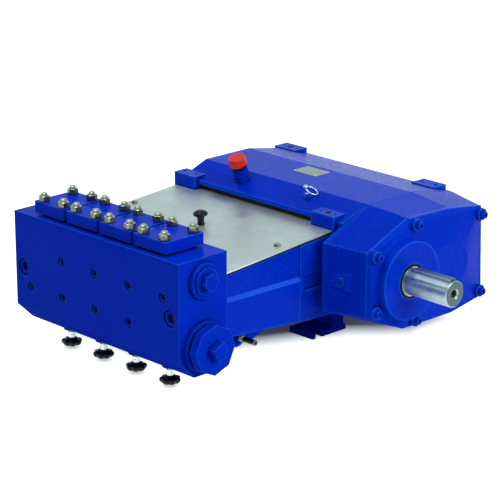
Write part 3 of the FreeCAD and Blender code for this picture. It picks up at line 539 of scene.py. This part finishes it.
def nut_on_stud(name, base, turn):
    """An M16 nut with chamfered corners, and the stud's end above it."""
    outline = hexagon(NUT_FLATS)
    top = NUT_TALL

    def chamfer(angle):
        return (outline(angle) - NUT_CROWN_R) * math.tan(NUT_CHAMFER)

    rings = [(0, NUT_CROWN_R), (chamfer, outline), (lambda a: top - chamfer(a), outline),
             (top, NUT_CROWN_R), (top, STUD_R + 1.7), (top - 1.4, STUD_R + 0.2)]
    rings += thread(top - 1.0, top + 5.2, STUD_R, pitch=2.0, depth=0.9)
    rings += [(top + 5.6, STUD_R - 0.3), (top + 6.6, STUD_R - 1.4),
              (top + 7.0, STUD_R - 2.6), (top + 7.0, 2.0)]
    turned(name, rings, base, Z, ZINC, turn=turn, sharp=22)


def cover_nuts():
    for column, (x, turns) in enumerate(zip(COLUMNS, NUT_TURNS), 1):
        seats = [(x + dx, y, COVER_TOP) for dx in (-STUD_X, STUD_X) for y in STUD_ROWS]
        for number, (seat, turn) in enumerate(zip(seats, turns), 1):
            nut_on_stud("cover_nut_%d_%d" % (column, number), seat, turn)


# Cap screws: radius and height of the head, its socket across flats, and the socket's depth
Screw = namedtuple("Screw", "head_r head_tall socket deep")
BLOCK_SCREW = Screw(head_r=12, head_tall=14.5, socket=14, deep=8)
TIE_SCREW = Screw(head_r=20, head_tall=17, socket=22, deep=12)
END_SCREW = Screw(head_r=9, head_tall=10, socket=8, deep=6)
PLATE_SCREW = Screw(head_r=8, head_tall=5, socket=5, deep=3)


def cap_screw(name, base, axis, screw, finish, turn):
    """A cylinder head with a hexagon socket, standing on its base along the axis."""
    head_r, tall, socket = screw.head_r, screw.head_tall, hexagon(screw.socket)
    edge = head_r * 0.12
    rings = [(0, head_r), (tall - edge, head_r), (tall - edge * 0.3, head_r - edge * 0.3),
             (tall, head_r - edge), (tall, grown(socket, 0.8)), (tall - 0.8, socket),
             (tall - screw.deep, socket), (tall - screw.deep - screw.socket * 0.15, 0.4)]
    turned(name, rings, base, axis, finish, turn=turn)


def socket_shade_disc(name, base, axis, height, across, turn):
    """A dark disc of painted shade near the bottom of a socket, at a height over the base of its screw."""
    inside = hexagon(across - 0.3)
    rings = [(height - 0.2, inside), (height + 0.4, inside), (height + 0.5, 1.0)]
    turned(name, rings, base, axis, DARK_STEEL, turn=turn)


def sunk_screw(group, number, base, axis, screw, bottom, turn):
    """A painted cap screw, with a dark disc of painted shade in its socket."""
    cap_screw("%s_screw_%d" % (group, number), base, axis, screw, SMOOTH_BLUE, turn)
    socket_shade_disc("%s_socket_%d" % (group, number), base, axis, bottom, screw.socket, turn)


# Screws sunk in the front of the block, one step above and below the plungers
ROW_STEP = 45
UPPER_SCREWS = (-1, 0, 1, 2)
LOWER_SCREWS = (-2, -1, 0, 1)
BLOCK_SEAT_Y = 17
TIE_X, TIE_SEAT_Y = 264, 20


def block_screws():
    seats = [(k * PITCH, BLOCK_SEAT_Y, PLUNGER_Z + ROW_STEP) for k in UPPER_SCREWS]
    seats += [(k * PITCH, BLOCK_SEAT_Y, PLUNGER_Z - ROW_STEP) for k in LOWER_SCREWS]
    for number, seat in enumerate(seats, 1):
        sunk_screw("block", number, seat, -Y, BLOCK_SCREW, bottom=7.5, turn=23 * number)
    for number, x in enumerate((-TIE_X, TIE_X), 1):
        seat = (x, TIE_SEAT_Y, PLUNGER_Z)
        sunk_screw("tie", number, seat, -Y, TIE_SCREW, bottom=7, turn=20 + 17 * number)


# Screws round the rim of the end cover, as (Y, Z)
END_SEAT_X = 464
END_SCREWS = ((477, 289), (615, 340), (852, 317), (854, 119), (618, 100), (477, 151))


def end_cover_screws():
    for number, (y, z) in enumerate(END_SCREWS, 1):
        sunk_screw("cover", number, (END_SEAT_X, y, z), X, END_SCREW, bottom=6, turn=31 * number)


# Plug in the pad on the gear housing's front
GEAR_PLUG = (366, 453.2, 211)
GEAR_PLUG_SOCKET = 8
GEAR_PLUG_TURN = 11


def gear_plug():
    """A flat plug with a groove round its head, and a hexagon socket with a dark disc of painted shade in
    it.
    """
    socket = hexagon(GEAR_PLUG_SOCKET)
    rings = [(0, 12.5), (1.2, 12.5), (1.8, 11.9), (1.8, 9.6), (0.9, 9.2), (0.9, 8.4), (2.6, 8.0),
             (3.0, 7.4), (3.0, grown(socket, 0.5)), (2.4, socket), (-0.4, socket), (-0.6, 0.4)]
    turned("gear_plug", rings, GEAR_PLUG, -Y, SMOOTH_BLUE, turn=GEAR_PLUG_TURN)
    socket_shade_disc("gear_plug_socket", GEAR_PLUG, -Y, 0.2, GEAR_PLUG_SOCKET, GEAR_PLUG_TURN)


# Low screws and a mushroom knob on the splash plate, as (X, Y)
PLATE_SCREWS = ((-262, 356), (245, 362))
KNOB = (-8, 350)


def plate_screws():
    for number, (x, y) in enumerate(PLATE_SCREWS, 1):
        cap_screw("plate_screw_%d" % number, on_plate(x, y), Z, PLATE_SCREW, ZINC, turn=25 * number)


def knob():
    rings = [(0, 9.6), (1.5, 9.2), (4, 8.4), (12, 8.2), (17, 9.0), (20.5, 11.0), (22.8, 14.2), (24.4, 17.0),
             (26.0, 18.0), (28.2, 18.0), (30.6, 16.9), (33.0, 14.2), (34.8, 10.4), (35.7, 6.0), (36.0, 1.5)]
    piece = turned("knob", rings, on_plate(*KNOB), PLATE_OUT, PLASTIC, sides=64, sharp=50)
    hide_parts("plate_knob")


# Bare name plate on the crankcase's top, and the radius and width of its corners and rim
NAME_LEFT, NAME_RIGHT = -30, 52
NAME_FRONT, NAME_BACK = 688, 744
NAME_Z = 361
NAME_THICK, NAME_CORNER, NAME_RIM = 0.9, 3.0, 2.0
RIVET_INSET = 5


def name_plate():
    """A plate with rounded corners and a low rim, and a rivet in each corner."""
    corners = ((NAME_RIGHT, NAME_BACK, 0), (NAME_LEFT, NAME_BACK, 90),
               (NAME_LEFT, NAME_FRONT, 180), (NAME_RIGHT, NAME_FRONT, 270))
    rings = ((0, 0), (0, NAME_THICK * 0.7), (0.4, NAME_THICK), (NAME_RIM, NAME_THICK),
             (NAME_RIM + 0.3, NAME_THICK - 0.25))
    bm = bmesh.new()
    loops = []
    for inset, height in rings:
        r = max(NAME_CORNER - inset, 0.4)
        loop = []
        for x, y, start in corners:
            middle_x = x - (inset + r) * (1 if x == NAME_RIGHT else -1)
            middle_y = y - (inset + r) * (1 if y == NAME_BACK else -1)
            for step in range(7):
                a = math.radians(start + 15 * step)
                at = Vector((middle_x + r * math.cos(a), middle_y + r * math.sin(a), NAME_Z + height))
                loop.append(add_corner(bm, at))
        loops.append(loop)
    join_loops(bm, loops)
    close_ends(bm, loops)
    finish_piece("name_plate", bm, PLATE)
    dome = [(NAME_THICK - 0.3, 2.4), (NAME_THICK + 0.4, 2.2),
            (NAME_THICK + 1.0, 1.4), (NAME_THICK + 1.2, 0.5)]
    rivets = [(x, y, NAME_Z) for y in (NAME_FRONT + RIVET_INSET, NAME_BACK - RIVET_INSET)
              for x in (NAME_LEFT + RIVET_INSET, NAME_RIGHT - RIVET_INSET)]
    for number, at in enumerate(rivets, 1):
        turned("plate_rivet_%d" % number, dome, at, Z, BRIGHT_STEEL, sides=20, sharp=60)


# Lifting screws below the block: star grip, pin through the collar, and lock nut over it
LIFT_Y = 75
GRIP_R, GRIP_SCALLOP, GRIP_LOBES = 25.8, 3.6, 7
GRIP_LOW, GRIP_TOP, HUB_TOP = 8.0, 22.0, 27.4
PIN_Z, PIN_LONG = 35.5, 18.2
PIN_TURNS = (-38, -88, -60, -20)
LOCK_NUT_Z = 45.5


def star_grip(number, x):
    """A grip with rounded lobes and a stepped hub."""
    outline = scalloped(GRIP_R, GRIP_SCALLOP, GRIP_LOBES)
    low, top = GRIP_LOW, GRIP_TOP
    rings = [(low, 14.0), (low, grown(outline, -7.0)), (low + 0.6, grown(outline, -5.2)),
             (low + 3.0, grown(outline, -2.4)), (low + 5.5, grown(outline, -0.7)), (low + 7.5, outline)]
    rings += [(top - 4.0, outline), (top - 2.0, grown(outline, -0.8)), (top - 0.6, grown(outline, -2.6)),
              (top, within(grown(outline, -5.0), 19.0)), (top + 0.5, 15.4), (top + 1.8, 14.2)]
    rings += [(top + 4.2, 12.4), (top + 5.1, 11.4), (HUB_TOP, 10.2), (HUB_TOP, 7.2)]
    piece = turned("grip_%d" % number, rings, (x, LIFT_Y, 0), Z, PLASTIC, "lifting_screw_%d" % number,
                   turn=19 * number, sides=140, sharp=50)
    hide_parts("star_grip_%d" % number)


def collar_pin(number, x, turn):
    """A pin right through the collar, with a small hole in its end."""
    a = math.radians(turn)
    along = Vector((math.cos(a), math.sin(a), 0))
    rings = [(0, 1.7), (0.3, 2.0), (PIN_LONG - 0.3, 2.0), (PIN_LONG, 1.7), (PIN_LONG, 1.1),
             (PIN_LONG - 2.7, 0.9)]
    turned("collar_pin_%d" % number, rings, Vector((x, LIFT_Y, PIN_Z)) - along * (PIN_LONG / 2), along,
           DARK_STEEL, "lifting_screw_%d" % number, sides=24)


def lifting_screws():
    for number, (x, turn) in enumerate(zip(COLUMNS, PIN_TURNS), 1):
        star_grip(number, x)
        collar_pin(number, x, turn)
        turned("lock_nut_%d" % number, [(0, 9.0), (0.6, 11.6), (1.2, 12.0), (3.5, 12.0)],
               (x, LIFT_Y, LOCK_NUT_Z), Z, SMOOTH_BLUE)


# Mouths of the tapped holes in two lifting pads and in the shaft's end
PAD_FRONT = (246, 534, 342.0)
PAD_BACK = (-246, 899, 342.5)
SHAFT_END = (615, 578, 213)


def tapped_hole(name, mouth, axis, start, deep, body):
    """The thread of an M20 hole, as a dark lining with a closed bottom, whose darkness is partly the
    steel's own and partly painted shade in the hole.
    """
    lining = list(reversed(thread(-deep + 1.1, -start - 0.7, outer=9.8, pitch=2.5, depth=1.4)))
    rings = [(-deep, 9.0), (-deep, 9.8), (-start, 9.9)] + lining + [(-deep + 0.4, 8.0), (-deep + 0.4, 1.0)]
    turned(name, rings, mouth, axis, DARK_STEEL, body)


def tapped_holes():
    tapped_hole("pad_thread_front", PAD_FRONT, Z, start=0.8, deep=31.6, body="pump")
    tapped_hole("pad_thread_back", PAD_BACK, Z, start=0.8, deep=31.6, body="pump")
    tapped_hole("shaft_thread", SHAFT_END, X, start=4.0, deep=41.5, body="shaft")


# Filler on the crankcase's slope, as (X, Y), with a faceted cap that stands on its neck
FILLER = (-91, 572)
NECK_TALL = 43.6
CAP_ACROSS, CAP_TALL, CAP_FACETS, CAP_EASED = 43.6, 22.7, 14, 0.1


def filler_cap():
    """The red cap, and the black seal below it."""
    base = on_slope(*FILLER, NECK_TALL)
    foot = polygon(CAP_ACROSS - 1.0, CAP_FACETS, CAP_EASED)
    side = polygon(CAP_ACROSS, CAP_FACETS, CAP_EASED)
    rim = polygon(CAP_ACROSS - 1.2, CAP_FACETS, CAP_EASED)
    rings = [(0, foot), (0.6, side), (CAP_TALL - 1.8, side), (CAP_TALL - 0.5, rim),
             (CAP_TALL, 19.6), (CAP_TALL, 1.0)]
    cap = turned("red_cap", rings, base, SLOPE_OUT, RED, "filler_cap", sides=12 * CAP_FACETS, sharp=14)
    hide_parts("filler_cap")
    seal = turned("seal_ring", [(-7.6, 18.4), (-7.0, 20.0), (-1.0, 20.8), (0.2, 20.2), (0.2, 17.0)],
                  base, SLOPE_OUT, RUBBER, "filler_cap", sides=64)
    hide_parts("filler_seal")


# Dipstick on the crankcase's slope, as (X, Y); its ring is turned and hangs at these angles
STICK = (139, 575)
RING_R, RING_WIRE_R, RING_HEIGHT = 16, 1.7, 26
RING_SWING, RING_HANG = math.radians(45), math.radians(41)


def dipstick():
    """The stick with its stepped head, and the ring through it."""
    rings = [(-135, 1.5), (-134, 3.0), (6, 3.0), (6, 4.8), (7, 5.8), (13, 5.8), (14, 4.8), (14, 3.4),
             (27, 3.4), (27, 4.6), (28, 5.4), (32.2, 5.4), (33.6, 4.4), (34, 2.6), (34, 0.5)]
    side = X * math.cos(RING_SWING) + SLOPE_UP * math.sin(RING_SWING)
    down = side * math.cos(RING_HANG) - SLOPE_OUT * math.sin(RING_HANG)
    ring_axis = side * math.sin(RING_HANG) + SLOPE_OUT * math.cos(RING_HANG)
    bm = bmesh.new()
    add_rings(bm, rings, on_slope(*STICK), SLOPE_OUT, sides=32)
    add_torus(bm, on_slope(*STICK, RING_HEIGHT) + down * RING_R, ring_axis, RING_R, RING_WIRE_R)
    piece = finish_piece("stick_and_ring", bm, BRIGHT_STEEL, "dipstick", sharp=40)
    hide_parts("dipstick")


# Drain on the lantern's side
DRAIN = (221, 254, 87)
DRAIN_FLATS = 25


def drain():
    """Painted hexagon, yellow collar, threaded nipple and its yellow end."""
    side = hexagon(DRAIN_FLATS)
    nut = [(0, side), (10.6, side), (12, within(side, 13.1)), (12, 8)]
    turned("drain_hexagon", nut, DRAIN, X, SMOOTH_BLUE)
    collar = [(12, 8.0), (12.6, 8.6)] + thread(13, 21, outer=8.6, pitch=1.6, depth=0.9)
    collar += [(21.6, 7.8), (22, 7.0), (22, 6.0)]
    turned("drain_collar", collar, DRAIN, X, ZINC)
    nipple = [(20, 6.0), (21, 6.9), (24, 6.9), (24.6, 6.3)]
    nipple += thread(26, 54, outer=6.9, pitch=4.0, depth=0.5) + [(56, 6.2), (56.6, 6.0), (56.6, 2.0)]
    piece = turned("drain_nipple", nipple, DRAIN, X, DARK_STEEL)
    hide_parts("drain_valve")
    end = [(55.6, 5.6), (56, 6.8), (61, 7.0), (62, 6.5), (62, 4.9), (61.4, 4.4), (57, 4.4), (56.8, 1.0)]
    turned("drain_end", end, DRAIN, X, ZINC)


cover_nuts()
block_screws()
end_cover_screws()
gear_plug()
plate_screws()
name_plate()
lifting_screws()
knob()
tapped_holes()
filler_cap()
dipstick()
drain()

# The floor glows white for the camera, and only faintly under the pump, which paints a shadow there.
# Each edge of that painted shadow is a pair: where the glow starts to change and where it ends, in metres.
# On the right they run along the lantern, at a slant, and along the crankcase, at 45 degrees,
# and never further out than the right edge.
FLOOR_HALF = 30.0
FLOOR_TINT = rgb(0.96, 1.0, 0.95)
UNDER_GLOW = 0.03
LEFT_EDGE = (-0.44, -0.34)
RIGHT_EDGE = (0.125, 0.185)
FRONT_EDGE = (-0.33, -0.24)
BACK_EDGE = (0.38, 0.48)
LANTERN_EDGE = (-0.085, 0.012)
LANTERN_SLANT = 0.45
CASE_EDGE = (-0.205, -0.075)

# The painted contact shadow, darker close to what stands on the floor, reaches this far, in mm
CONTACT_REACH = 60.0


def glow_with_painted_shadow(p):
    """The floor's own brightness: 1, and a painted shadow under the pump, with a soft edge on every side.
    """
    x, y = p.along(p.coord, "X"), p.along(p.coord, "Y")

    def rising(value, edge):
        return p.spread(value, *edge, UNDER_GLOW, 1.0)

    def falling(value, edge):
        return p.spread(value, *edge, 1.0, UNDER_GLOW)

    by_lantern = rising(p.math("SUBTRACT", x, p.math("MULTIPLY", y, LANTERN_SLANT)), LANTERN_EDGE)
    by_case = rising(p.math("SUBTRACT", x, y), CASE_EDGE)
    right = p.math("MAXIMUM", p.math("MINIMUM", by_lantern, by_case), rising(x, RIGHT_EDGE))
    sides = p.math("MAXIMUM", right, falling(x, LEFT_EDGE))
    ends = p.math("MAXIMUM", falling(y, FRONT_EDGE), rising(y, BACK_EDGE))
    return p.math("MAXIMUM", sides, ends)


def floor_material():
    p = Paint("pale_floor")
    base = p.mix(p.wander(3.0), rgb(0.80, 0.81, 0.82), rgb(0.82, 0.82, 0.82))
    # The glow dims near what stands on the floor: a painted contact shadow
    contact = p.spread(p.openness(CONTACT_REACH), 0.10, 0.55, 0.35, 1.0)
    glow = p.math("MULTIPLY", glow_with_painted_shadow(p), contact)
    return p.finished(Base_Color=base, Roughness=0.9, Specular_IOR_Level=0.0, Emission_Color=FLOOR_TINT,
                      Emission_Strength=p.math("MULTIPLY", p.seen_directly(), glow))


def make_floor():
    mesh = bpy.data.meshes.new("floor")
    bm = bmesh.new()
    bmesh.ops.create_grid(bm, x_segments=8, y_segments=8, size=FLOOR_HALF)
    bm.to_mesh(mesh)
    bm.free()
    mesh.materials.append(floor_material())
    floor = bpy.data.objects.new("floor", mesh)
    bpy.context.scene.collection.objects.link(floor)


make_floor()

# Strengths of the world as a light and of its ceiling, which starts and ends at these heights
# of a direction, where 1 is straight up
WORLD_LIGHT = 0.27
CEILING_LIGHT = 0.35
CEILING_FROM, CEILING_TO = 0.45, 0.80
SKY_TINT = rgb(0.78, 0.95, 1.0)
WHITE = rgb(1.0, 1.0, 1.0)


def make_world():
    """White for the camera, dim as a light; reflections see white, and a darker ceiling high up."""
    world = bpy.data.worlds.new("studio")
    world.use_nodes = True
    sky = Nodes(world.node_tree)
    for_camera = sky.node("ShaderNodeLightPath").outputs["Is Camera Ray"]
    height = sky.along(sky.node("ShaderNodeTexCoord").outputs["Generated"], "Z")
    ceiling = sky.spread(height, CEILING_FROM, CEILING_TO, 1.0, CEILING_LIGHT)
    mirrored = sky.spread(for_camera, 0.0, 1.0, ceiling, 1.0)
    background = world.node_tree.nodes["Background"]
    sky.put(background, "Strength", sky.spread(sky.seen_directly(), 0.0, 1.0, WORLD_LIGHT, mirrored))
    sky.put(background, "Color", sky.mix(for_camera, SKY_TINT, WHITE))
    bpy.context.scene.world = world


make_world()

# Softboxes, with place and size in metres and power in watts
LAMP_TINT = (0.93, 0.99, 1.0)
LAMP_TARGET = Vector((0, 0, 0.2))


def softbox(name, position, size, power):
    data = bpy.data.lights.new(name, "AREA")
    data.shape = "RECTANGLE"
    data.size, data.size_y = size
    data.energy = power
    data.color = LAMP_TINT
    lamp = bpy.data.objects.new(name, data)
    lamp.location = position
    lamp.rotation_euler = (LAMP_TARGET - Vector(position)).to_track_quat("-Z", "Y").to_euler()
    bpy.context.scene.collection.objects.link(lamp)


softbox("right_box", (3.0, 0.7, 1.6), (1.8, 1.8), 60)
softbox("top_box", (-0.2, -0.9, 3.2), (2.2, 2.2), 52)
softbox("front_box", (-1.6, -3.0, 1.6), (2.0, 1.6), 4)

# Camera at the photograph's viewing angle, in metres and degrees, its lens and sensor in mm
CAMERA_AT = (3.542, -3.531, 1.850)
CAMERA_DOWN, CAMERA_TURN = 17.818, 45.969
CAMERA_LENS, CAMERA_SENSOR = 155.4, 36.0
CAMERA_REACH = 100.0


def make_camera():
    data = bpy.data.cameras.new("camera")
    data.sensor_width = CAMERA_SENSOR
    data.lens = CAMERA_LENS
    data.clip_end = CAMERA_REACH
    camera = bpy.data.objects.new("camera", data)
    camera.location = CAMERA_AT
    camera.rotation_euler = (math.radians(90 - CAMERA_DOWN), 0.0, math.radians(CAMERA_TURN))
    bpy.context.scene.collection.objects.link(camera)
    bpy.context.scene.camera = camera


make_camera()
bpy.context.scene.view_settings.view_transform = "Standard"
